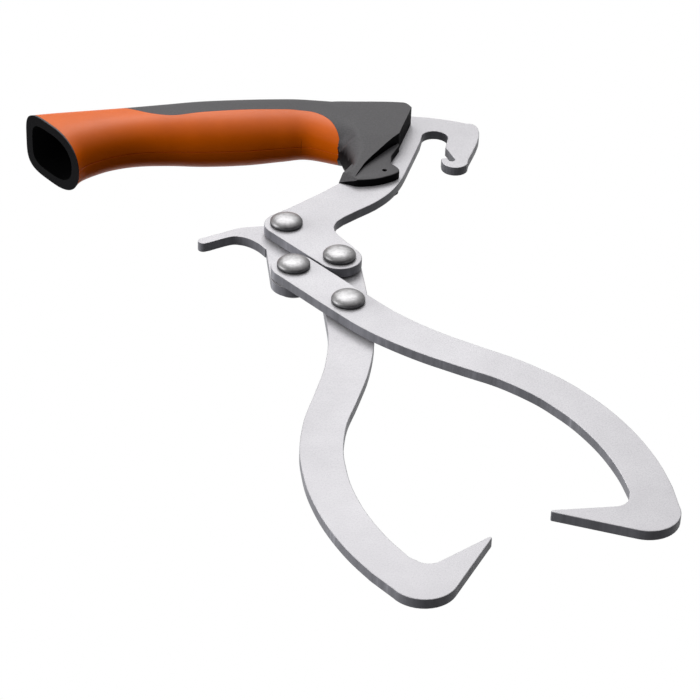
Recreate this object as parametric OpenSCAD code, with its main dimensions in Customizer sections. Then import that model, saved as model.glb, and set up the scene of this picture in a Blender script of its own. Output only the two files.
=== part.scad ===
// Log tongs: two steel jaws on a four-bar linkage of flat plates, with a moulded handle.
// Z is square to the plates, +X runs along the handle from its butt to its nose and hook,
// and +Y points from the jaws to the handle. The tongs lie on their side, jaws closed.

/* [Plates] */
// Thickness of every steel plate
plate_t = 4.6; // [4:0.1:5.5]
// Gap between the upper and the lower layer of plates, filled by the washers
layer_gap = 1; // [0.8:0.1:2]
// Width of the straight bars between two pivots
bar_w = 20.4; // [18:0.2:20.8]

/* [Linkage] */
// Distance between neighbouring pivots, the same on all four sides
link = 37; // [36.5:0.1:40]
// Angle between each bar and the closing line, jaws closed
closed_half = 17.6; // [17:0.1:20]
// Lean of the closing line from square to the handle
lean = 14; // [8:0.5:20]
// Place of the pivot where the jaws cross, left to right
cross_x = 12.8; // [5:0.2:25]
// Place of the pivot where the jaws cross, towards the handle
cross_y = 12.6; // [0:0.2:20]

/* [Jaws] */
// Width of a jaw along its curved arm
jaw_w = 18; // [15:0.5:20]
// How far the arm bulges out from the line of its bar
jaw_bulge = 22; // [16:0.5:26]
// Distance from the crossing pivot down to the middle of the jaw's heel
jaw_reach = 187; // [170:1:210]
// Radius of the round heel at the end of the arm
heel_r = 14; // [12:0.5:16]
// Length of the pointed tooth, from the heel's middle to its point
tooth_len = 37.5; // [30:0.5:42]
// Radius of the blunted point
tooth_r = 0.8; // [0.5:0.1:1.5]

/* [Rivets and washers] */
// Diameter of the domed rivet heads
head_d = 15; // [12:0.5:17]
// Height of the straight side of a head
head_side = 1.6; // [1:0.1:2.5]
// Height of the dome on a head
head_dome = 2.2; // [1.5:0.1:3]
// Diameter of the rivet shanks
shank_d = 8; // [6:0.5:9]
// Gap all round a shank in its holes
shank_fit = 0.05; // [0.02:0.01:0.1]
// Gap under each rivet head and beside each washer
face_fit = 0.1; // [0.05:0.05:0.15]
// Diameter of the washers between the layers
washer_d = 18.4; // [16:0.2:20]

/* [Lever] */
// Length of the finger horn, from the pivot's middle
horn_len = 40.2; // [34:0.2:46]
// Thickness of the horn near its end
horn_t = 5; // [4:0.2:6]

/* [Handle] */
// Half the thickness of the grip at its middle
grip_half = 14.6; // [13.4:0.2:15.4]
// Half the thickness of the handle at its butt
butt_half = 15.6; // [15:0.2:16.6]
// Half the thickness of the moulding at its nose
nose_half = 11.8; // [10.5:0.2:12.5]
// Thickness of the soft layer over the core
soft_t = 2; // [1.5:0.1:2.5]
// How far the core's rim stands out of the soft layer at the butt
rim_out = 1.3; // [0.8:0.1:2]
// Wall of the hollow core
core_wall = 2.6; // [2:0.1:3]
// Depth of the hollow, from the butt
hollow_len = 96; // [60:1:100]
// Height of the nose's low flange over the plate
flange_h = 4; // [3:0.2:5]
// Diameter of the small hole in the flange
pin_hole_d = 2.4; // [2:0.1:3]

/* [Hidden] */
$fn = 96;

mid_z = butt_half;
top_z0 = mid_z - plate_t / 2;
low_z0 = top_z0 - layer_gap - plate_t;
end_r = bar_w / 2;
steel = [0.82, 0.81, 0.82];
rivet_steel = [0.62, 0.62, 0.64];
dark = [0.25, 0.25, 0.26];
orange = [0.85, 0.36, 0.04];

// Pivots on the closing line's own axes, crossing pivot at 0,0
half_wide = link * sin(closed_half);
half_tall = link * cos(closed_half);
p_top = [0, 2 * half_tall];
p_right = [half_wide, half_tall];
p_left = [-half_wide, half_tall];
p_cross = [0, 0];

// The middle of the grip, which the handle's own outlines are measured from
grip_mid = [cross_x - 44.5, cross_y + 162];

// Smooth line through points or rows, n steps a span
function through(p, n = 5) = let (last = len(p) - 1) concat([
    for (i = [0:last - 1], k = [0:n - 1])
        let (a = p[max(i - 1, 0)], b = p[i], c = p[i + 1], d = p[min(i + 2, last)], t = k / n)
            0.5 * (2 * b + (c - a) * t + (2 * a - 5 * b + 4 * c - d) * t * t
                + (3 * b - a - 3 * c + d) * t * t * t)
], [p[last]]);
function arc(c, r, a0, a1, n = 10) = [for (i = [0:n]) let (a = a0 + (a1 - a0) * i / n)
    c + r * [cos(a), sin(a)]];
function flip(p) = [for (i = [len(p) - 1:-1:0]) p[i]];
// One edge of a strip: side is 1 or -1, rows are x, y, width
function edge(rows, side) = [for (i = [0:len(rows) - 1])
    let (a = rows[max(i - 1, 0)], b = rows[min(i + 1, len(rows) - 1)],
        d = [b[0] - a[0], b[1] - a[1]] / norm([b[0] - a[0], b[1] - a[1]]))
        [rows[i][0], rows[i][1]] + side * rows[i][2] / 2 * [-d[1], d[0]]];

module at_linkage() {
    translate([cross_x, cross_y, 0]) rotate([0, 0, lean]) children();
}

module at_pivot(p) {
    at_linkage() translate([p[0], p[1], 0]) children();
}

module pivot_hole(p) {
    at_pivot(p) translate([0, 0, -1]) cylinder(h = mid_z * 2 + 2, d = shank_d + 2 * shank_fit);
}

// Flat bar with round ends between two pivots
module bar(a, b) {
    d = b - a;
    translate(a) rotate(atan2(d[1], d[0])) {
        translate([0, -end_r]) square([norm(d), bar_w]);
        circle(end_r);
        translate([norm(d), 0]) circle(end_r);
    }
}

// Jaw blank: tail pivot at 0,link and crossing pivot at 0,0, tooth pointing to -X
heel = [-0.047 * jaw_reach, -jaw_reach];
tooth = heel + tooth_len * [-0.8, 0.6];
arm = through([
    [0, link, bar_w], [0, 0, bar_w], [0.8, -0.118 * jaw_reach, bar_w - 0.4],
    [0.235 * jaw_bulge, -0.238 * jaw_reach, jaw_w + 1.2],
    [0.54 * jaw_bulge, -0.348 * jaw_reach, jaw_w + 0.6],
    [0.82 * jaw_bulge, -0.442 * jaw_reach, jaw_w], [0.98 * jaw_bulge, -0.54 * jaw_reach, jaw_w],
    [jaw_bulge, -0.615 * jaw_reach, jaw_w], [0.95 * jaw_bulge, -0.694 * jaw_reach, jaw_w],
    [0.77 * jaw_bulge, -0.79 * jaw_reach, jaw_w], [0.47 * jaw_bulge, -0.883 * jaw_reach, jaw_w],
    [0.13 * jaw_bulge, -0.957 * jaw_reach, jaw_w]
]);

module jaw_blank() {
    fillet_r = 7;
    fillet = heel + [-3.9, 14.9];
    outline = concat(
        arc([0, link], end_r, 176, 4, 24),
        edge(arm, 1),
        arc(heel, heel_r, -28, -149, 14),
        arc(tooth + [tooth_r, -tooth_r * 0.3], tooth_r, 210, 60, 6),
        arc(fillet, fillet_r, 238, 318, 8),
        flip(edge(arm, -1))
    );
    polygon(outline);
}

module jaw(z0) {
    difference() {
        at_linkage() translate([0, 0, z0]) linear_extrude(plate_t)
            rotate(closed_half) jaw_blank();
        pivot_hole(p_left);
        pivot_hole(p_cross);
    }
}

module upper_jaw() {
    color(steel) jaw(top_z0);
}

module lower_jaw() {
    color(steel) difference() {
        at_linkage() translate([0, 0, low_z0]) linear_extrude(plate_t)
            mirror([1, 0]) rotate(closed_half) jaw_blank();
        pivot_hole(p_right);
        pivot_hole(p_cross);
    }
}

module lever() {
    tip = p_top + [-horn_len + horn_t / 2, 8];
    horn = concat(
        [p_top, p_top + [0, end_r - 0.4]],
        through([p_top + [-6.5, 10.3], p_top + [-17.7, 12.7], p_top + [-28, 11.6], tip + [0, horn_t / 2]], 4),
        arc(tip, horn_t / 2, 100, 260, 8),
        through([tip + [2, -2.4], p_top + [-25, 6.9], p_top + [-20.6, 5.3], p_top + [-17.2, 1.6],
            p_top + [-14.9, -3.6], p_top + [-13.9, -9]], 4)
    );
    color(steel) difference() {
        at_linkage() translate([0, 0, low_z0]) linear_extrude(plate_t) {
            bar(p_top, p_left);
            polygon(horn);
        }
        pivot_hole(p_top);
        pivot_hole(p_left);
    }
}

// A pivot's place measured from the middle of the grip
function from_grip(p) = [cross_x, cross_y] - grip_mid
    + [p[0] * cos(lean) - p[1] * sin(lean), p[0] * sin(lean) + p[1] * cos(lean)];
bar_side = lean + closed_half - 180;

// Frame plate with neck, hook and tang, measured from the middle of the grip
frame_outline = concat(
    [[44, 4], [60, 11], [84, 9]],
    through([[104.6, 2], [113.4, -0.6], [122.6, -4.2], [130, -8.2]], 3),
    arc([128.4, -13.6], 6.2, 58, -8, 6),
    through([[134.3, -17.8], [132.8, -23.6], [129.2, -32.2], [123.6, -43.6]], 3),
    arc([116.6, -44.6], 6.4, -28, -180, 10),
    arc([112.3, -42.9], 2.1, 150, 50, 4),
    arc([115.4, -42.9], 1.6, 215, 370, 6),
    [[114.7, -31.1], [116.8, -24.8]],
    arc([111.6, -20.6], 6.4, -10, 154, 12),
    [[103.4, -24.9]],
    through([[90.6, -53.5], [86.6, -61.4], [80.3, -70.5], [72, -78.6], [62, -85.5], [54.6, -90.7]], 3),
    through([[51, -94.1], [48.9, -98.6], [48.9, -104], [51.6, -110.8], [54.3, -116.2]], 3),
    arc(from_grip(p_right), end_r, 36, bar_side, 24),
    arc(from_grip(p_top), end_r, bar_side, -240, 14),
    through([[31.4, -79], [47.4, -67.6], [57.8, -59.4]], 3),
    [[65.5, -54], [65.5, -36], [60, -22], [50, -12], [44, -9]]
);

module frame_shape() {
    translate(grip_mid) polygon(frame_outline);
}

module frame_plate() {
    color(steel) difference() {
        translate([0, 0, top_z0]) linear_extrude(plate_t) frame_shape();
        pivot_hole(p_top);
        pivot_hole(p_right);
    }
}

butt_x = -81.5;
nose_x = 65;

// Handle sections: x on the centre line, front edge, back edge, half thickness, slant of the cut
sections = [
    [butt_x, -30, 8, butt_half, -0.585], [-71, -22.5, 9.5, butt_half - 0.5, -0.46],
    [-60, -18.3, 10.8, grip_half - 0.3, -0.32], [-47, -15.3, 12.2, grip_half - 1, -0.18],
    [-33, -14, 12.8, grip_half - 1.2, -0.07], [-17, -15.2, 13.6, grip_half - 0.8, 0],
    [0, -17.2, 13.9, grip_half, 0], [20, -18.3, 13.6, grip_half, 0],
    [38, -18.6, 13.6, grip_half - 0.8, 0], [50, -19.8, 13.4, grip_half - 1.6, 0],
    [nose_x, -30.4, 11.7, grip_half - 2.2, 0]
];

// Points of one section, inset from the outside
function ring(row, inset, n) = [for (i = [0:n - 1])
    let (a = 360 * i / n, c = cos(a), s = sin(a), f = row[1] + inset, b = row[2] - inset,
        mid = f + 0.5 * (b - f), p = c > 0 ? 2 / 3 : 1,
        y = mid + (c > 0 ? b - mid : mid - f) * sign(c) * pow(abs(c), p),
        z = (row[3] - inset) * sign(s) * pow(abs(s), p))
        [row[0] + row[4] * y, y, z]];

smooth = through(sections, 4);
function row_at(x) = [x, for (k = [1:4]) lookup(x, [for (r = smooth) [r[0], r[k]]])];

// Solid through the sections from x0 to x1 along the centre line, m steps long
module loft(inset, x0 = butt_x, x1 = nose_x, m = 20, n = 28) {
    points = [for (j = [0:m]) each ring(row_at(x0 + (x1 - x0) * j / m), inset, n)];
    faces = concat(
        [[for (i = [0:n - 1]) i]],
        [[for (i = [n - 1:-1:0]) m * n + i]],
        [for (j = [0:m - 1], i = [0:n - 1])
            [j * n + i, (j + 1) * n + i, (j + 1) * n + (i + 1) % n, j * n + (i + 1) % n]]
    );
    translate([grip_mid[0], grip_mid[1], mid_z]) polyhedron(points, faces, convexity = 6);
}

// Plan outline of the soft grip: a long tongue of core stays bare along the back
grip_edge = concat(
    [[-120, -60], [61.6, -60], [62.8, -40]],
    through([[63.3, -31], [63, -22], [60.4, -14.4], [55, -9.2], [45.5, -7.2]], 4),
    through([[27.6, -6.7], [0, -6.9], [-11.4, -7.4], [-20, -4.4], [-26, 1.4], [-30, 8.4]], 3),
    [[-38, 30], [-120, 30]]
);

// Joins a moulding's shapes into one skin: no size is given, so none changes
module one_skin() {
    resize([0, 0, 0]) children();
}

module grip_plan(z0, h) {
    translate([grip_mid[0], grip_mid[1], z0]) linear_extrude(h) polygon(grip_edge);
}

module grip() {
    color(orange) one_skin() difference() {
        intersection() {
            loft(0, butt_x + rim_out);
            grip_plan(-1, 2 * mid_z + 2);
        }
        loft(soft_t);
        nose_body();
        translate([0, 0, top_z0]) linear_extrude(plate_t) frame_shape();
    }
}

// Plan outline of the nose: end wall beside the hook, curved step over the flange, finger guard
nose_outline = concat(
    [[nose_x - 1.5, 11.1], [80, 8]],
    through([[93, 4.6], [100.6, 2], [103.2, 0], [103.6, -2.4]], 3),
    [[92.2, -31.5]],
    through([[84.6, -37.4], [76, -45.4], [69, -53.8], [63.6, -61.4]], 3),
    through([[58, -62], [60, -58], [61.6, -50], [61.8, -41.5], [nose_x - 1.5, -27]], 3)
);
flange_outline = concat(
    [[93.6, -24], [92.7, -31.4], [88.7, -45]],
    through([[87.6, -50.6], [87.2, -57.2], [83.4, -62], [77, -64.6], [69, -65.4], [62, -65], [56.8, -63.8]], 3),
    [[64, -56], [74, -44], [84, -30]]
);
pin_hole = [79.9, -56.5];
round_back = 5;

// Nose body: its two faces fall to the hook and to the guard, and its back edges are cut off
module nose_body() {
    start_half = grip_half - 2.5;
    fall = atan((start_half - nose_half) / 40);
    guard_fall = atan((nose_half - plate_t / 2 - flange_h) / 31);
    translate([grip_mid[0], grip_mid[1], mid_z]) intersection() {
        translate([0, 0, -20]) linear_extrude(40) polygon(nose_outline);
        intersection_for(side = [0, 1]) mirror([0, 0, side]) translate([nose_x, -80, 0]) rotate([0, fall, 0])
            translate([-20, 0, start_half - 40]) cube([90, 120, 40]);
        intersection_for(side = [0, 1]) mirror([0, 0, side]) translate([nose_x, 11.7, start_half]) rotate([0, fall, -8.5])
            rotate([42, 0, 0]) translate([-30, -200, -120]) cube([100, 200 - round_back, 240]);
        intersection_for(side = [0, 1]) mirror([0, 0, side]) translate([0, -31, nose_half])
            rotate([guard_fall, 0, 0]) translate([-100, -100, -60]) cube([400, 300, 60]);
    }
}

module flange() {
    half = plate_t / 2 + flange_h;
    translate([grip_mid[0], grip_mid[1], mid_z - half]) linear_extrude(2 * half) polygon(flange_outline);
}

module handle_core() {
    color(dark) one_skin() difference() {
        union() {
            loft(soft_t);
            difference() {
                loft(0);
                grip_plan(-1, 2 * mid_z + 2);
            }
            loft(0, butt_x, butt_x + rim_out, 1);
            nose_body();
            flange();
        }
        loft(soft_t + core_wall, butt_x - 0.5, butt_x + hollow_len, 14);
        translate([0, 0, top_z0]) linear_extrude(plate_t) frame_shape();
        translate([grip_mid[0] + pin_hole[0], grip_mid[1] + pin_hole[1], -1])
            cylinder(h = 2 * mid_z + 2, d = pin_hole_d, $fn = 24);
    }
}

// One rivet through both layers, a domed head at each end
module rivet(p) {
    z1 = top_z0 + plate_t + face_fit;
    z0 = low_z0 - face_fit;
    dome_r = (head_d * head_d / 4 + head_dome * head_dome) / (2 * head_dome);
    color(rivet_steel) at_pivot(p) {
        rotate_extrude() difference() {
            union() {
                translate([0, z0 - 1]) square([shank_d / 2, z1 - z0 + 2]);
                translate([0, z1]) square([head_d / 2, head_side]);
                translate([0, z0 - head_side]) square([head_d / 2, head_side]);
                intersection() {
                    translate([0, z1 + head_side + head_dome - dome_r]) circle(dome_r);
                    translate([0, z1 + head_side]) square([head_d, head_dome + 1]);
                }
                intersection() {
                    translate([0, z0 - head_side - head_dome + dome_r]) circle(dome_r);
                    translate([0, z0 - head_side - head_dome - 1]) square([head_d, head_dome + 1]);
                }
            }
            translate([-100, -50]) square([100, 150]);
        }
    }
}

module washer(p) {
    color(rivet_steel) at_pivot(p) translate([0, 0, low_z0 + plate_t + face_fit]) difference() {
        cylinder(h = layer_gap - 2 * face_fit, d = washer_d);
        translate([0, 0, -1]) cylinder(h = layer_gap + 2, d = shank_d + 2 * shank_fit);
    }
}

module rivet_top() { rivet(p_top); }
module rivet_right() { rivet(p_right); }
module rivet_left() { rivet(p_left); }
module rivet_cross() { rivet(p_cross); }
module washer_top() { washer(p_top); }
module washer_right() { washer(p_right); }
module washer_left() { washer(p_left); }
module washer_cross() { washer(p_cross); }

frame_plate();
handle_core();
grip();
lever();
upper_jaw();
lower_jaw();
rivet_top();
rivet_right();
rivet_left();
rivet_cross();
washer_top();
washer_right();
washer_left();
washer_cross();
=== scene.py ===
import bpy
import bmesh
import math
from mathutils import Matrix, Vector


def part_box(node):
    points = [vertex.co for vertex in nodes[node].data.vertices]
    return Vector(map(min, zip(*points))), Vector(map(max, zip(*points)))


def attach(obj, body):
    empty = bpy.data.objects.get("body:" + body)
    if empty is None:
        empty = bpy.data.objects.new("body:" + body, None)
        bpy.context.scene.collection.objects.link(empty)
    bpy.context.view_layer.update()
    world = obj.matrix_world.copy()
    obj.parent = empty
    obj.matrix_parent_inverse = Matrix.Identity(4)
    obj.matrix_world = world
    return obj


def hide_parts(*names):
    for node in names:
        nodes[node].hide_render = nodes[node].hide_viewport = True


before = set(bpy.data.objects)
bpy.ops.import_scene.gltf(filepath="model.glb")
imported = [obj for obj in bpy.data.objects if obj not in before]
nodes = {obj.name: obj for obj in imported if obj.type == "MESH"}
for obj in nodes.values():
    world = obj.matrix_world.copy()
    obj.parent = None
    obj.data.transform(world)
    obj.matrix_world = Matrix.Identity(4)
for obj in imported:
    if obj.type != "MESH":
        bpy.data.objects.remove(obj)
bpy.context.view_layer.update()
mm = 0.001

# the mid plane of the frame plate, and the middle of the grip, which the handle is measured from
plateLow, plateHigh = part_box("frame_plate")
midZ = (plateLow.z + plateHigh.z) / 2
gripMid = Vector((-0.0317, 0.1746, midZ))


def handlePoint(x, y, z=0.0):
    return gripMid + Vector((x, y, z)) * mm


# helpers for meshes

def newPiece(name, bm, body, mats, smoothAngle=35):
    mesh = bpy.data.meshes.new(name)
    bmesh.ops.recalc_face_normals(bm, faces=bm.faces[:])
    bm.to_mesh(mesh)
    bm.free()
    piece = bpy.data.objects.new(name, mesh)
    bpy.context.scene.collection.objects.link(piece)
    for mat in mats:
        mesh.materials.append(mat)
    softShade(mesh, smoothAngle)
    if body:
        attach(piece, body)
    return piece


def softShade(mesh, angle):
    mesh.shade_smooth()
    mesh.set_sharp_from_angle(angle=math.radians(angle))


def throughPoints(points, steps):
    # smooth line through the points, the same steps between each two
    out = []
    last = len(points) - 1
    for i in range(last):
        a, b = points[max(i - 1, 0)], points[i]
        c, d = points[i + 1], points[min(i + 2, last)]
        for k in range(steps):
            t = k / steps
            out.append([0.5 * (2 * q + (r - p) * t + (2 * p - 5 * q + 4 * r - s) * t * t
                        + (3 * q - p - 3 * r + s) * t ** 3) for p, q, r, s in zip(a, b, c, d)])
    out.append(list(points[last]))
    return out


def prism(points, low, high):
    # a flat outline of the handle pulled up into a block
    bm = bmesh.new()
    ring = [bm.verts.new(handlePoint(p[0], p[1], low)) for p in points]
    base = bm.faces.new(ring)
    top = bmesh.ops.extrude_face_region(bm, geom=[base])
    lifted = [v for v in top["geom"] if isinstance(v, bmesh.types.BMVert)]
    bmesh.ops.translate(bm, verts=lifted, vec=(0, 0, (high - low) * mm))
    bmesh.ops.recalc_face_normals(bm, faces=bm.faces[:])
    return bm


def solidVolume(mesh):
    bm = bmesh.new()
    bm.from_mesh(mesh)
    volume = bm.calc_volume(signed=True)
    bm.free()
    return volume * 1e6


cutCheck = {"tries": 6, "near": 0.03, "nudge": (0.0002, 0.0001, 0.00015)}


def cutWith(piece, bm, how, leaves):
    # one boolean against a helper shape, which is thrown away afterwards
    # leaves: the volume that has to be left, in cm3
    mesh = bpy.data.meshes.new("helper")
    bm.to_mesh(mesh)
    bm.free()
    helper = bpy.data.objects.new("helper", mesh)
    bpy.context.scene.collection.objects.link(helper)
    for attempt in range(cutCheck["tries"]):
        mod = piece.modifiers.new("cut", "BOOLEAN")
        mod.operation = how
        mod.solver = "EXACT"
        mod.object = helper
        bpy.context.view_layer.update()
        result = bpy.data.meshes.new_from_object(piece.evaluated_get(bpy.context.evaluated_depsgraph_get()))
        piece.modifiers.clear()
        found = solidVolume(result)
        if abs(found - leaves) < cutCheck["near"]:
            break
        # the solver now and then loses a shell, so the cut is made again with the helper a hair aside
        print(piece.name, how, "left", round(found, 2), "and not", leaves, "cm3")
        mesh.transform(Matrix.Translation(Vector(cutCheck["nudge"]) * mm))
    old = piece.data
    piece.data = result
    bpy.data.meshes.remove(old)
    bpy.data.objects.remove(helper)
    bpy.data.meshes.remove(mesh)


# helpers for node materials

def startMaterial(name, **fixed):
    mat = bpy.data.materials.new(name)
    mat.use_nodes = True
    tree = mat.node_tree
    shader = tree.nodes["Principled BSDF"]
    for socket, value in fixed.items():
        shader.inputs[socket.replace("_", " ")].default_value = value
    coords = tree.nodes.new("ShaderNodeTexCoord")
    return mat, tree, shader, coords.outputs["Object"]


def grain(tree, coords, scale, detail=4.0, rough=0.6, stretch=None):
    if stretch:
        mapping = tree.nodes.new("ShaderNodeMapping")
        mapping.inputs["Scale"].default_value = stretch
        tree.links.new(coords, mapping.inputs["Vector"])
        coords = mapping.outputs["Vector"]
    noise = tree.nodes.new("ShaderNodeTexNoise")
    noise.inputs["Scale"].default_value = scale
    noise.inputs["Detail"].default_value = detail
    noise.inputs["Roughness"].default_value = rough
    tree.links.new(coords, noise.inputs["Vector"])
    return noise.outputs["Fac"]


def ramp(tree, source, stops):
    node = tree.nodes.new("ShaderNodeValToRGB")
    tree.links.new(source, node.inputs["Fac"])
    marks = node.color_ramp.elements
    while len(marks) < len(stops):
        marks.new(0.5)
    for mark, (at, colour) in zip(marks, stops):
        mark.position = at
        mark.color = (*colour, 1)
    return node.outputs["Color"]


def spread(tree, source, low, high):
    node = tree.nodes.new("ShaderNodeMapRange")
    node.inputs["To Min"].default_value = low
    node.inputs["To Max"].default_value = high
    node.inputs["From Min"].default_value = 0.3
    node.inputs["From Max"].default_value = 0.7
    tree.links.new(source, node.inputs["Value"])
    return node.outputs["Result"]


def bump(tree, shader, height, strength, distance):
    node = tree.nodes.new("ShaderNodeBump")
    node.inputs["Strength"].default_value = strength
    node.inputs["Distance"].default_value = distance
    tree.links.new(height, node.inputs["Height"])
    tree.links.new(node.outputs["Normal"], shader.inputs["Normal"])


def flatness(tree, low, high):
    # 0 on walls, 1 on faces that lie flat with the plates; the mask for painted shade and sheen
    coords = tree.nodes.new("ShaderNodeTexCoord")
    split = tree.nodes.new("ShaderNodeSeparateXYZ")
    tree.links.new(coords.outputs["Normal"], split.inputs[0])
    size = tree.nodes.new("ShaderNodeMath")
    size.operation = "ABSOLUTE"
    tree.links.new(split.outputs["Z"], size.inputs[0])
    node = tree.nodes.new("ShaderNodeMapRange")
    node.interpolation_type = "SMOOTHSTEP"
    node.inputs["From Min"].default_value = low
    node.inputs["From Max"].default_value = high
    tree.links.new(size.outputs[0], node.inputs["Value"])
    return node.outputs["Result"]


def multiplied(tree, a, b):
    mix = tree.nodes.new("ShaderNodeMix")
    mix.data_type = "RGBA"
    mix.blend_type = "MULTIPLY"
    mix.inputs["Factor"].default_value = 1
    tree.links.new(a, mix.inputs["A"])
    tree.links.new(b, mix.inputs["B"])
    return mix.outputs["Result"]


def between(tree, share, low, high):
    node = tree.nodes.new("ShaderNodeMapRange")
    node.inputs["To Min"].default_value = low
    node.inputs["To Max"].default_value = high
    tree.links.new(share, node.inputs["Value"])
    return node.outputs["Result"]


rivetParts = {
    "bodies": {"rivet_top": "handle", "rivet_right": "handle", "rivet_left": "lever",
               "rivet_cross": "lower_jaw"},
    "headRadius": 7.5, "sideHeight": 1.6, "domeHeight": 2.2, "shankRadius": 4.0,
    "shoulder": 0.35, "domeSteps": 14, "roundOut": 0.78, "roundUp": 1.1, "turns": 64,
    "middle": 12.8, "seat": 5.2, "paintedShadeRise": 3.8,
}


def blastedSteel():
    # fine blasted grain on the flat faces, with faint cloudy tone
    mat, tree, shader, at = startMaterial("blastedSteel", Metallic=0.3, Roughness=0.5)
    fine = grain(tree, at, 1500, 2, 0.8)
    cloud = grain(tree, at, 26, 3)
    clouds = ramp(tree, cloud, [(0.3, (0.51, 0.50, 0.52)), (0.7, (0.59, 0.58, 0.60))])
    specks = ramp(tree, fine, [(0.32, (0.76, 0.76, 0.77)), (0.6, (1, 1, 1))])
    tree.links.new(multiplied(tree, clouds, specks), shader.inputs["Base Color"])
    tree.links.new(spread(tree, fine, 0.42, 0.6), shader.inputs["Roughness"])
    bump(tree, shader, fine, 0.25, 0.00012)
    return mat


def cutEdgeSteel():
    # wall of a plate with upright streaks, partly its sawn finish and partly painted shade: a dull, dark
    # non-metal steel that keeps the walls dark
    mat, tree, shader, at = startMaterial("cutEdgeSteel", Metallic=0.0, Roughness=0.5,
                                             Specular_IOR_Level=0.15)
    streak = grain(tree, at, 420, 3, 0.6, (1, 1, 0.06))
    broad = grain(tree, at, 60, 2, 0.5, (1, 1, 0.02))
    both = tree.nodes.new("ShaderNodeMath")
    both.operation = "MULTIPLY"
    tree.links.new(spread(tree, streak, 0.55, 1.0), both.inputs[0])
    tree.links.new(spread(tree, broad, 0.5, 1.0), both.inputs[1])
    tree.links.new(ramp(tree, both.outputs[0], [(0.25, (0.13, 0.13, 0.145)), (0.75, (0.24, 0.24, 0.265)),
                                                (0.97, (0.42, 0.42, 0.46))]), shader.inputs["Base Color"])
    tree.links.new(spread(tree, streak, 0.34, 0.5), shader.inputs["Roughness"])
    bump(tree, shader, streak, 0.3, 0.0001)
    return mat


def rivetSteel():
    # domes painted bright on top, with painted shade darkening their sides close to the plates; a grain adds
    # a random worn tone
    mat, tree, shader, at = startMaterial("rivetSteel", Metallic=0.85, Roughness=0.34)
    fine = grain(tree, at, 1500, 3, 0.7)
    split = tree.nodes.new("ShaderNodeSeparateXYZ")
    tree.links.new(at, split.inputs[0])
    rise = tree.nodes.new("ShaderNodeMath")
    rise.operation = "SUBTRACT"
    rise.inputs[1].default_value = rivetParts["middle"] * mm
    tree.links.new(split.outputs["Z"], rise.inputs[0])
    away = tree.nodes.new("ShaderNodeMath")
    away.operation = "ABSOLUTE"
    tree.links.new(rise.outputs[0], away.inputs[0])
    height = tree.nodes.new("ShaderNodeMapRange")
    height.inputs["From Min"].default_value = rivetParts["seat"] * mm
    height.inputs["From Max"].default_value = (rivetParts["seat"] + rivetParts["paintedShadeRise"]) * mm
    tree.links.new(away.outputs[0], height.inputs["Value"])
    # painted shade and highlight: near black at the foot of each head, rising to a painted highlight on the
    # top of the dome
    tone = ramp(tree, height.outputs["Result"], [(0.0, (0.03, 0.03, 0.032)), (0.34, (0.13, 0.13, 0.135)),
                                                 (0.55, (0.30, 0.295, 0.30)), (1.0, (0.40, 0.395, 0.40))])
    worn = ramp(tree, grain(tree, at, 420, 4, 0.7), [(0.35, (0.72, 0.72, 0.72)), (0.6, (1, 1, 1))])
    tree.links.new(multiplied(tree, tone, worn), shader.inputs["Base Color"])
    tree.links.new(spread(tree, fine, 0.38, 0.5), shader.inputs["Roughness"])
    bump(tree, shader, fine, 0.15, 0.00006)
    return mat


def washerSteel():
    # washers in the gap between the plates get a near-black tone: painted shade
    mat, tree, shader, at = startMaterial("washerSteel", Metallic=0.8, Roughness=0.5)
    tone = ramp(tree, grain(tree, at, 900, 3), [(0.3, (0.09, 0.09, 0.095)), (0.7, (0.16, 0.16, 0.17))])
    tree.links.new(tone, shader.inputs["Base Color"])
    bump(tree, shader, grain(tree, at, 1500, 2), 0.2, 0.00008)
    return mat


def mouldedCore(name, flatTone, gloss):
    # hard moulded plastic with a fine spark-eroded grain; its walls are painted in shade, far darker than the
    # faces that lie flat, and lose their reflection
    mat, tree, shader, at = startMaterial(name, Roughness=0.6)
    fine = grain(tree, at, 1500, 3, 0.7)
    flat = flatness(tree, 0.15, 0.85)
    # painted shade: the colour falls to near black on walls and stays light on flat faces
    tone = ramp(tree, flat, [(0.0, (0.06, 0.06, 0.065)), (1.0, (flatTone, flatTone, flatTone))])
    specks = ramp(tree, fine, [(0.3, (0.055, 0.053, 0.056)), (0.7, (0.105, 0.102, 0.107))])
    tree.links.new(multiplied(tree, specks, tone), shader.inputs["Base Color"])
    # painted shade: the reflection is dropped on walls and kept on flat faces
    tree.links.new(between(tree, flat, 0.02, gloss), shader.inputs["Specular IOR Level"])
    tree.links.new(spread(tree, fine, 0.48, 0.66), shader.inputs["Roughness"])
    bump(tree, shader, fine, 0.35, 0.00016)
    return mat


def softRubber():
    mat, tree, shader, at = startMaterial("softRubber", Roughness=0.46, Specular_IOR_Level=0.3)
    fine = grain(tree, at, 1300, 3, 0.6)
    cloud = grain(tree, at, 45, 3)
    tree.links.new(ramp(tree, cloud, [(0.3, (0.64, 0.108, 0.001)), (0.7, (0.71, 0.124, 0.002))]),
                   shader.inputs["Base Color"])
    # painted sheen and shade: the reflection is strong on flat-lying faces and dropped on the sides and
    # underside
    tree.links.new(between(tree, flatness(tree, 0.35, 0.95), 0.02, 0.34), shader.inputs["Specular IOR Level"])
    tree.links.new(spread(tree, fine, 0.40, 0.54), shader.inputs["Roughness"])
    bump(tree, shader, fine, 0.2, 0.0001)
    return mat


blasted = blastedSteel()
cutEdge = cutEdgeSteel()
rivetMetal = rivetSteel()
washerMetal = washerSteel()
coreMat = mouldedCore("mouldedCore", 0.92, 0.24)
# a near-black copy of the core's plastic for the inside of the hollow: painted shade
hollowShadeMat = mouldedCore("hollowPaintedShade", 0.03, 0.02)
gripMat = softRubber()
print("materials ready")


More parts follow.
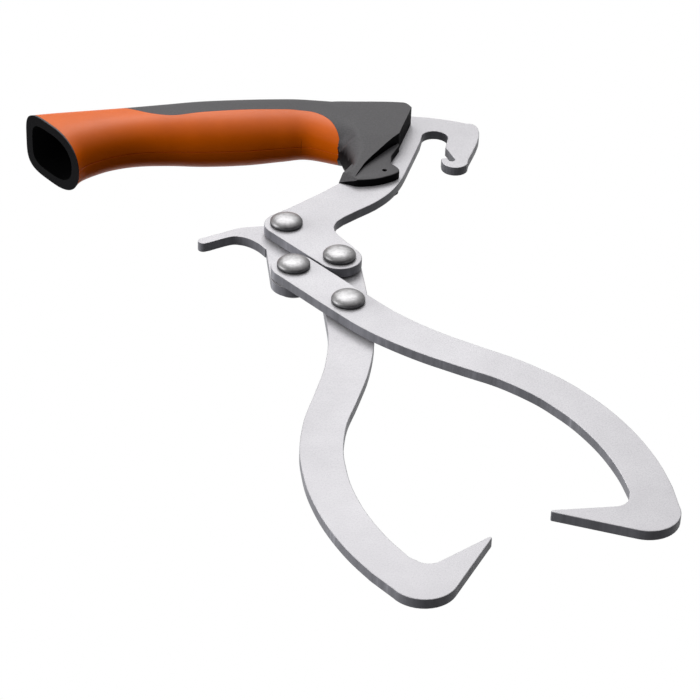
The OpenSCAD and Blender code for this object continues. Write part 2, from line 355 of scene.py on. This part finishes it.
# flat plates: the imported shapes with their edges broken

plateFinish = {
    "weld": 0.02, "flatAngle": 0.5, "edgeSteps": 2, "smoothAngle": 14,
}
plates = {
    "frame_plate": {"body": "handle", "edge": 0.35},
    "lever": {"body": "lever", "edge": 0.3},
    "upper_jaw": {"body": "upper_jaw", "edge": 0.35},
    "lower_jaw": {"body": "lower_jaw", "edge": 0.35},
}


def easedPlate(node, spec):
    bm = bmesh.new()
    bm.from_mesh(nodes[node].data)
    bmesh.ops.remove_doubles(bm, verts=bm.verts[:], dist=plateFinish["weld"] * mm)
    bmesh.ops.dissolve_limit(bm, angle_limit=math.radians(plateFinish["flatAngle"]), verts=bm.verts[:],
                             edges=bm.edges[:])
    rims = [e for e in bm.edges if len(e.link_faces) == 2
            and any(abs(f.normal.z) > 0.9 for f in e.link_faces)
            and any(abs(f.normal.z) < 0.1 for f in e.link_faces)]
    bmesh.ops.bevel(bm, geom=rims, offset=spec["edge"] * mm, offset_type="OFFSET", affect="EDGES",
                    segments=plateFinish["edgeSteps"], profile=0.5, material=-1, clamp_overlap=True)
    # walls get the darker steel, partly finish and partly painted shade
    for face in bm.faces:
        face.material_index = 0 if abs(face.normal.z) > 0.5 else 1
    piece = newPiece(node.replace("_", "") + "Steel", bm, spec["body"], [blasted, cutEdge],
                     plateFinish["smoothAngle"])
    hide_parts(node)


for node, spec in plates.items():
    easedPlate(node, spec)
print("plates ready")


def domedRivet(node):
    low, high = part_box(node)
    centre = (low + high) / 2
    spec = rivetParts
    r, shank, dome, shoulder = spec["headRadius"], spec["shankRadius"], spec["domeHeight"], spec["shoulder"]
    half = (high.z - low.z) / 2 / mm
    foot = half - spec["sideHeight"] - dome
    # half a profile: eased lower edge, straight side, rounded shoulder, then the dome
    line = [(shank, 0), (shank, foot), (r - 0.35, foot), (r - 0.1, foot + 0.1), (r, foot + 0.4),
            (r, half - dome - shoulder)]
    for k in range(1, spec["domeSteps"] + 1):
        a = math.radians(90 * k / spec["domeSteps"])
        out, up = math.cos(a) ** spec["roundOut"], math.sin(a) ** spec["roundUp"]
        line.append((r * out, half - dome - shoulder + (dome + shoulder) * up))
    bm = bmesh.new()
    verts = [bm.verts.new((x * mm, 0, z * mm)) for x, z in line]
    edges = [bm.edges.new((a, b)) for a, b in zip(verts, verts[1:])]
    bmesh.ops.spin(bm, geom=verts + edges, cent=(0, 0, 0), axis=(0, 0, 1), angle=math.tau,
                   steps=spec["turns"], use_merge=True)
    bmesh.ops.mirror(bm, geom=bm.verts[:] + bm.edges[:] + bm.faces[:], axis="Z", merge_dist=0.00001)
    bmesh.ops.remove_doubles(bm, verts=bm.verts[:], dist=0.00001)
    bmesh.ops.translate(bm, verts=bm.verts[:], vec=centre)
    piece = newPiece(node.replace("_", "") + "Domed", bm, spec["bodies"][node], [rivetMetal], 40)
    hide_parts(node)


for node in rivetParts["bodies"]:
    domedRivet(node)
for name, node in nodes.items():
    if name.startswith("washer"):
        node.data.materials.clear()
        node.data.materials.append(washerMetal)
print("rivets and washers ready")


# the handle: each row is a section of it by its place along the grip, front, back, half thickness,
# slant, and the roundness of its front and back

handleShape = {
    "butt": -81.5, "end": 65.0, "coreEnd": 62.0, "innerEnd": 62.5, "around": 72, "along": 84,
    "soft": 2.0, "rim": 1.3, "innerRim": 0.6, "wall": 2.6, "hollow": 96.0,
    "seam": 0.6, "seamWidth": 0.003, "joint": 0.07, "hair": 0.02, "spare": 30,
    "rows": [
        (-81.5, -32.6, 5.6, 15.6, -0.575, 0.86, 0.5), (-71, -26.6, 7.8, 15.1, -0.45, 0.92, 0.58),
        (-60, -22.6, 10.1, 14.3, -0.32, 0.96, 0.64), (-47, -18.8, 11.9, 13.6, -0.18, 1, 0.67),
        (-33, -16.6, 12.8, 13.4, -0.07, 1, 0.67), (-17, -17.2, 13.6, 13.8, 0, 1, 0.67),
        (0, -19.3, 13.9, 14.6, 0, 1, 0.67), (20, -20.2, 13.6, 14.6, 0, 1, 0.67),
        (38, -19.6, 13.6, 13.8, 0, 1, 0.67), (50, -20.2, 13.4, 13, 0, 1, 0.67),
        (65, -30.4, 11.7, 12.4, 0, 1, 0.67)],
}
smoothRows = throughPoints(handleShape["rows"], 8)


def rowAt(x):
    rows = smoothRows
    if x <= rows[0][0]:
        return [x] + rows[0][1:]
    for a, b in zip(rows, rows[1:]):
        if x <= b[0]:
            t = (x - a[0]) / (b[0] - a[0])
            return [x] + [p + (q - p) * t for p, q in zip(a[1:], b[1:])]
    return [x] + rows[-1][1:]


def sectionPoint(row, inset, angle):
    c, s = math.cos(angle), math.sin(angle)
    front, back = row[1] + inset, row[2] - inset
    middle = (front + back) / 2
    power = row[6] if c > 0 else row[5]
    y = middle + (back - middle) * math.copysign(abs(c) ** power, c)
    z = (row[3] - inset) * math.copysign(abs(s) ** power, s)
    return (row[0] + row[4] * y, y, z)


def handleLoft(inset, start, end, along, seam=0.0):
    # one ring of points pulled along the handle section by section
    count = handleShape["around"]
    angles = [math.tau * i / count for i in range(count)]
    if seam:
        # five close points hold the parting groove at the front
        tight = math.tau * handleShape["seamWidth"]
        angles = [a for a in angles if abs(a - math.pi) > 0.01]
        angles = sorted(angles + [math.pi + tight * k for k in (-2, -1, 0, 1, 2)])
    bm = bmesh.new()
    ring = bmesh.ops.create_circle(bm, cap_ends=False, radius=mm, segments=len(angles))["verts"]
    loop = bm.edges[:]
    for j in range(along + 1):
        row = rowAt(start + (end - start) * j / along)
        if j:
            grown = bmesh.ops.extrude_edge_only(bm, edges=loop)["geom"]
            loop = [g for g in grown if isinstance(g, bmesh.types.BMEdge)]
            loop = [e for e in loop if all(v in grown for v in e.verts)]
            found = {v for e in loop for v in e.verts}
            order = {v.co.to_tuple(7): v for v in found}
            ring = [order[v.co.to_tuple(7)] for v in ring]
        for v, a in zip(ring, angles):
            groove = seam if seam and a == math.pi else 0.0
            v.co = handlePoint(*sectionPoint(row, inset + groove, a))
    ends = [e for e in bm.edges if e.is_boundary]
    bmesh.ops.holes_fill(bm, edges=ends, sides=0)
    bmesh.ops.recalc_face_normals(bm, faces=bm.faces[:])
    return bm


# edge of the soft layer seen from above: the bare tongue runs along the back
softEdge = (
    [(-130, -70), (61.4, -70)]
    + throughPoints([(62.8, -40), (63.3, -31), (62.9, -22), (59.8, -13.6), (53.5, -7.6), (44.5, -5.2)], 8)
    + throughPoints([(42, -5.0), (27.6, -4.9), (0, -5.0), (-14, -5.2), (-24, -2.4), (-32, 2.6),
                     (-40, 9.4)], 8)
    + [(-48, 30), (-130, 30)]
)


def grownEdge(by):
    # the same edge moved outwards, square to its line at each point
    out = []
    for before, here, after in zip(softEdge[-1:] + softEdge, softEdge, softEdge[1:] + softEdge[:1]):
        along = Vector((after[0] - before[0], after[1] - before[1])).normalized()
        out.append((here[0] + along.y * by, here[1] - along.x * by))
    return out


spec = handleShape
gripForm = handleLoft(0, spec["butt"] + spec["rim"], spec["end"], spec["along"], spec["seam"])
gripSkin = newPiece("gripSkin", gripForm, "handle", [gripMat])
cutWith(gripSkin, prism(softEdge, -spec["spare"], spec["spare"]), "INTERSECT", 62.41)
cutWith(gripSkin, handleLoft(spec["soft"], spec["butt"] - 1, spec["end"] + 1, 60), "DIFFERENCE", 15.79)
softShade(gripSkin.data, 40)
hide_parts("grip")
print("grip ready")

# the core: hollow handle and nose, with the soft layer's place cut out of it
coreForm = handleLoft(0, spec["butt"], spec["coreEnd"], spec["along"])
coreSkin = newPiece("coreSkin", coreForm, "handle", [coreMat])

guardLeft = [(57.7, -59.2), (62.7, -55.4), (64.8, -51), (65.4, -45.5), (65.1, -40), (64.3, -34.5), (63, -30),
             (62.2, -27.5)]
noseShape = {
    "backTop": 12.2, "endTop": 11.8, "flangeTop": 6.3, "guardTop": 2.4, "bend": -31.0, "bendLength": 31.0,
    "under": 0.03, "start": 63.0, "length": 40.0, "edgeEase": 0.5,
    "backAt": 11.4, "backLean": 0.19, "backBow": 0.0012, "backRadius": 9.8, "tipRadius": 4.4,
    "spur": (62.0, -56.0, 7.5), "spurSlope": (0.739, 0.539),
    "outline": (
        throughPoints([(61.9, 11.2), (70, 9.9), (80, 8), (93, 4.6), (96.5, 2.4), (99.4, -0.4), (101.2, -3),
                       (102.4, -6.2)], 5)
        + throughPoints([(91.6, -31.0), (87, -35), (82.6, -39.4), (77.3, -44.9), (71.9, -50.7), (68.2, -56),
                         (64.6, -61.8)], 4)
        + guardLeft[:1] + throughPoints(guardLeft[1:], 3) + [(61, -25), (61, -18)]),
    "flange": (
        [(90.6, -24), (91.5, -32.9), (85.7, -43.1), (84.4, -50)]
        + throughPoints([(84.4, -50.4), (86.6, -54.4), (86.9, -57.4), (84.9, -59.8), (80.0, -62.2),
                         (73.9, -63.9), (66.0, -63.9), (62.1, -61.8), (57.7, -59.2)], 4)
        + [(66, -48), (80, -28)]),
    "pinHole": (79.9, -56.5, 1.2),
}


def smoothStep(t):
    t = min(max(t, 0.0), 1.0)
    return t * t * (3 - 2 * t)


def softLess(a, b, blendOver):
    # the lower of two heights, rounded where they meet
    h = min(max(0.5 + 0.5 * (b - a) / blendOver, 0.0), 1.0)
    return b + (a - b) * h - blendOver * h * (1 - h)


def edgeAt(y):
    # the guard's left side
    line = guardLeft + [(61, -20)]
    for (x0, y0), (x1, y1) in zip(line, line[1:]):
        if y <= y1:
            return x0 + (x1 - x0) * max(y - y0, 0) / (y1 - y0)
    return line[-1][0]


def noseHeight(x, y):
    n = noseShape
    row = rowAt(min(x, handleShape["end"] - 0.1))
    middle, reach = (row[1] + row[2]) / 2, (row[2] - row[1]) / 2
    off = abs(y - middle) / reach
    power = 3.0 if y > middle else 2.0
    # a shade under the handle that it grows from
    tube = row[3] * max(1 - off ** power, 0) ** (1 / power) - n["under"]
    # the flat top, rounded down along the back
    flat = n["backTop"] + (n["endTop"] - n["backTop"]) * (x - n["start"]) / n["length"]
    along = x - 61.5
    back = n["backAt"] - n["backLean"] * along - n["backBow"] * along ** 2
    shrink = n["backRadius"] - n["tipRadius"]
    radius = n["backRadius"] - shrink * smoothStep((x - n["start"]) / n["length"])
    over = max(y - (back - radius), 0)
    flat = flat - radius + math.sqrt(max(radius ** 2 - over ** 2, 0.01))
    # it falls towards the flange, and once more at the spur's corner
    fall = n["endTop"] + (y - n["bend"]) * (n["endTop"] - n["flangeTop"]) / n["bendLength"]
    top = softLess(flat, fall, 0.6)
    spurX, spurY, spurTop = n["spur"]
    slopeX, slopeY = n["spurSlope"]
    top = softLess(top, spurTop + slopeX * (x - spurX) + slopeY * (y - spurY), 1.0)
    width = 7.5 + 6.5 * smoothStep((y + 14) / 14)
    inner = tube + (top - tube) * smoothStep((x - 64.6) / width)
    # below the tube the guard rises from its left edge like a rounded rim
    radius = 1.5 + 8.5 * smoothStep((y + 58) / 26)
    depth = min(max((x - edgeAt(y)) / radius, 0), 1)
    rim = n["guardTop"] + (top - n["guardTop"]) * math.sqrt(1 - (1 - depth) ** 2)
    height = inner + (rim - inner) * smoothStep((-24 - y) / 10)
    return max(height, n["guardTop"])


def noseBlock():
    # a fine grid raised to the height of the nose, then its mirror image below
    bm = bmesh.new()
    bmesh.ops.create_grid(bm, x_segments=64, y_segments=110, size=0.5)
    for v in bm.verts:
        x, y = 82.5 + v.co.x * 46, -27 + v.co.y * 82
        v.co = handlePoint(x, y, noseHeight(x, y))
    grown = bmesh.ops.extrude_face_region(bm, geom=bm.faces[:])["geom"]
    for v in grown:
        if isinstance(v, bmesh.types.BMVert):
            v.co.z = 2 * midZ - v.co.z
    bmesh.ops.recalc_face_normals(bm, faces=bm.faces[:])
    return bm


def lowFlange():
    bm = prism(noseShape["flange"], -noseShape["flangeTop"], noseShape["flangeTop"])
    rims = [e for e in bm.edges if abs(e.verts[0].co.z - e.verts[1].co.z) < 0.00001]
    bmesh.ops.bevel(bm, geom=rims, offset=noseShape["edgeEase"] * mm, offset_type="OFFSET",
                    affect="EDGES", segments=3, profile=0.5, material=-1, clamp_overlap=True)
    # the spur's corner falls to the plate on both faces
    x, y, top = noseShape["spur"]
    slopeX, slopeY = noseShape["spurSlope"]
    for side in (1, -1):
        slope = Vector((-slopeX, -slopeY, side)).normalized()
        cut = bmesh.ops.bisect_plane(bm, geom=bm.verts[:] + bm.edges[:] + bm.faces[:], dist=0.000001,
                                     plane_co=handlePoint(x, y, side * top), plane_no=slope, clear_outer=True)
        rim = [g for g in cut["geom_cut"] if isinstance(g, bmesh.types.BMEdge)]
        bmesh.ops.holes_fill(bm, edges=rim, sides=0)
    bmesh.ops.recalc_face_normals(bm, faces=bm.faces[:])
    return bm


nose = newPiece("noseBlock", noseBlock(), None, [])
cutWith(nose, prism(noseShape["outline"], -spec["spare"], spec["spare"]), "INTERSECT", 39.28)
cutWith(nose, lowFlange(), "UNION", 43.85)
pin = bmesh.new()
bmesh.ops.create_cone(pin, cap_ends=True, segments=32, radius1=noseShape["pinHole"][2] * mm,
                      radius2=noseShape["pinHole"][2] * mm, depth=60 * mm)
bmesh.ops.translate(pin, verts=pin.verts[:], vec=handlePoint(*noseShape["pinHole"][:2]))
cutWith(nose, pin, "DIFFERENCE", 43.79)
noseMesh = bmesh.new()
noseMesh.from_mesh(nose.data)
bpy.data.objects.remove(nose)
cutWith(coreSkin, noseMesh, "UNION", 151.56)

# the soft layer's place is cut out a hairline larger, then what lies under it is put back
pocketForm = handleLoft(-spec["hair"], spec["butt"] + spec["rim"] - spec["joint"], spec["end"], spec["along"])
pocket = newPiece("pocket", pocketForm, None, [])
cutWith(pocket, prism(grownEdge(spec["joint"]), -spec["spare"], spec["spare"]), "INTERSECT", 62.89)
pocketMesh = bmesh.new()
pocketMesh.from_mesh(pocket.data)
bpy.data.objects.remove(pocket)
cutWith(coreSkin, pocketMesh, "DIFFERENCE", 88.85)
innerForm = handleLoft(spec["soft"] + spec["joint"], spec["butt"] + spec["innerRim"], spec["innerEnd"],
                       spec["along"])
cutWith(coreSkin, innerForm, "UNION", 135.14)
# the inside of the hollow gets the near-black copy: painted shade
coreSkin.data.materials.append(hollowShadeMat)
hollow = handleLoft(spec["soft"] + spec["wall"], spec["butt"] - 0.5, spec["butt"] + spec["hollow"], 40)
for face in hollow.faces:
    face.material_index = 1
cutWith(coreSkin, hollow, "DIFFERENCE", 100.71)
softShade(coreSkin.data, 32)
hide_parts("handle_core")
print("core ready")


# floor, light and camera

studio = {
    "floorSize": 6.0, "skyTop": 0.8, "skyLow": 0.02,
    "keyPower": 12.0, "keySize": 0.9, "keyAt": (0.05, 0.95, 1.15),
    "sidePower": 20.0, "sideSize": 1.0, "sideAt": (-1.5, 0.12, 0.42), "lampAim": (0, 0.05, 0),
    "floorTone": 0.09, "floorDrop": 0.2, "skyLean": 0.55, "skyReach": 1.1,
}
photoView = {
    "lens": 133.71, "sensor": 36, "at": (-0.1702, -0.9322, 0.6293), "roll": 2.3523,
    "ahead": (0.15999, 0.81835, -0.55201), "right": (0.98142, -0.19187, 0), "up": (0.10591, 0.54175, 0.83384),
}


def paleFloor():
    bm = bmesh.new()
    bmesh.ops.create_grid(bm, x_segments=1, y_segments=1, size=studio["floorSize"])
    bmesh.ops.translate(bm, verts=bm.verts[:], vec=(0, 0, -studio["floorDrop"] * mm))
    mesh = bpy.data.meshes.new("paleFloor")
    bm.to_mesh(mesh)
    bm.free()
    floor = bpy.data.objects.new("paleFloor", mesh)
    bpy.context.scene.collection.objects.link(floor)
    mat = bpy.data.materials.new("floorPaint")
    mat.use_nodes = True
    tree = mat.node_tree
    shader = tree.nodes["Principled BSDF"]
    shader.inputs["Base Color"].default_value = (*[studio["floorTone"]] * 3, 1)
    shader.inputs["Roughness"].default_value = 0.9
    white = tree.nodes.new("ShaderNodeEmission")
    white.inputs["Strength"].default_value = 1.0
    mix = tree.nodes.new("ShaderNodeMixShader")
    tree.links.new(backgroundRays(tree), mix.inputs["Fac"])
    tree.links.new(shader.outputs["BSDF"], mix.inputs[1])
    tree.links.new(white.outputs["Emission"], mix.inputs[2])
    tree.links.new(mix.outputs["Shader"], tree.nodes["Material Output"].inputs["Surface"])
    mesh.materials.append(mat)


def backgroundRays(tree):
    # 1 for rays that look at the background straight, in a gloss or through glass
    light = tree.nodes.new("ShaderNodeLightPath")
    total = light.outputs["Is Camera Ray"]
    for name in ("Is Glossy Ray", "Is Transmission Ray"):
        add = tree.nodes.new("ShaderNodeMath")
        add.operation = "MAXIMUM"
        tree.links.new(total, add.inputs[0])
        tree.links.new(light.outputs[name], add.inputs[1])
        total = add.outputs[0]
    return total


def softLamp(name, at, size, power):
    lamp = bpy.data.lights.new(name, "AREA")
    lamp.shape = "SQUARE"
    lamp.size = size
    lamp.energy = power
    holder = bpy.data.objects.new(name, lamp)
    holder.location = at
    holder.rotation_euler = (Vector(studio["lampAim"]) - Vector(at)).to_track_quat("-Z", "Y").to_euler()
    bpy.context.scene.collection.objects.link(holder)


def whiteWorld():
    world = bpy.data.worlds.new("studioWorld")
    bpy.context.scene.world = world
    world.use_nodes = True
    tree = world.node_tree
    light = tree.nodes["Background"]
    where = tree.nodes.new("ShaderNodeTexCoord")
    split = tree.nodes.new("ShaderNodeSeparateXYZ")
    tree.links.new(where.outputs["Generated"], split.inputs[0])
    rise = tree.nodes.new("ShaderNodeMapRange")
    rise.inputs["From Max"].default_value = studio["skyReach"]
    rise.inputs["To Min"].default_value = studio["skyLow"]
    rise.inputs["To Max"].default_value = studio["skyTop"]
    lean = tree.nodes.new("ShaderNodeMath")
    lean.operation = "MULTIPLY_ADD"
    lean.inputs[1].default_value = studio["skyLean"]
    tree.links.new(split.outputs["Y"], lean.inputs[0])
    tree.links.new(split.outputs["Z"], lean.inputs[2])
    tree.links.new(lean.outputs[0], rise.inputs["Value"])
    tree.links.new(rise.outputs["Result"], light.inputs["Strength"])
    plain = tree.nodes.new("ShaderNodeBackground")
    plain.inputs["Strength"].default_value = 1.0
    plain.inputs["Color"].default_value = (1, 1, 1, 1)
    light.inputs["Color"].default_value = (1, 1, 1, 1)
    camera = tree.nodes.new("ShaderNodeLightPath")
    mix = tree.nodes.new("ShaderNodeMixShader")
    tree.links.new(camera.outputs["Is Camera Ray"], mix.inputs["Fac"])
    tree.links.new(light.outputs["Background"], mix.inputs[1])
    tree.links.new(plain.outputs["Background"], mix.inputs[2])
    tree.links.new(mix.outputs["Shader"], tree.nodes["World Output"].inputs["Surface"])


def photoCamera():
    data = bpy.data.cameras.new("photoCamera")
    data.lens = photoView["lens"]
    data.sensor_width = photoView["sensor"]
    data.clip_start = 0.01
    holder = bpy.data.objects.new("photoCamera", data)
    bpy.context.scene.collection.objects.link(holder)
    ahead, right, up = Vector(photoView["ahead"]), Vector(photoView["right"]), Vector(photoView["up"])
    roll = math.radians(photoView["roll"])
    x = right * math.cos(roll) + up * math.sin(roll)
    y = up * math.cos(roll) - right * math.sin(roll)
    place = Matrix((x, y, -ahead)).transposed().to_4x4()
    place.translation = Vector(photoView["at"])
    holder.matrix_world = place
    bpy.context.scene.camera = holder


paleFloor()
softLamp("overheadSoftbox", studio["keyAt"], studio["keySize"], studio["keyPower"])
softLamp("sideSoftbox", studio["sideAt"], studio["sideSize"], studio["sidePower"])
whiteWorld()
photoCamera()
bpy.context.scene.view_settings.view_transform = "Standard"
print("studio ready")
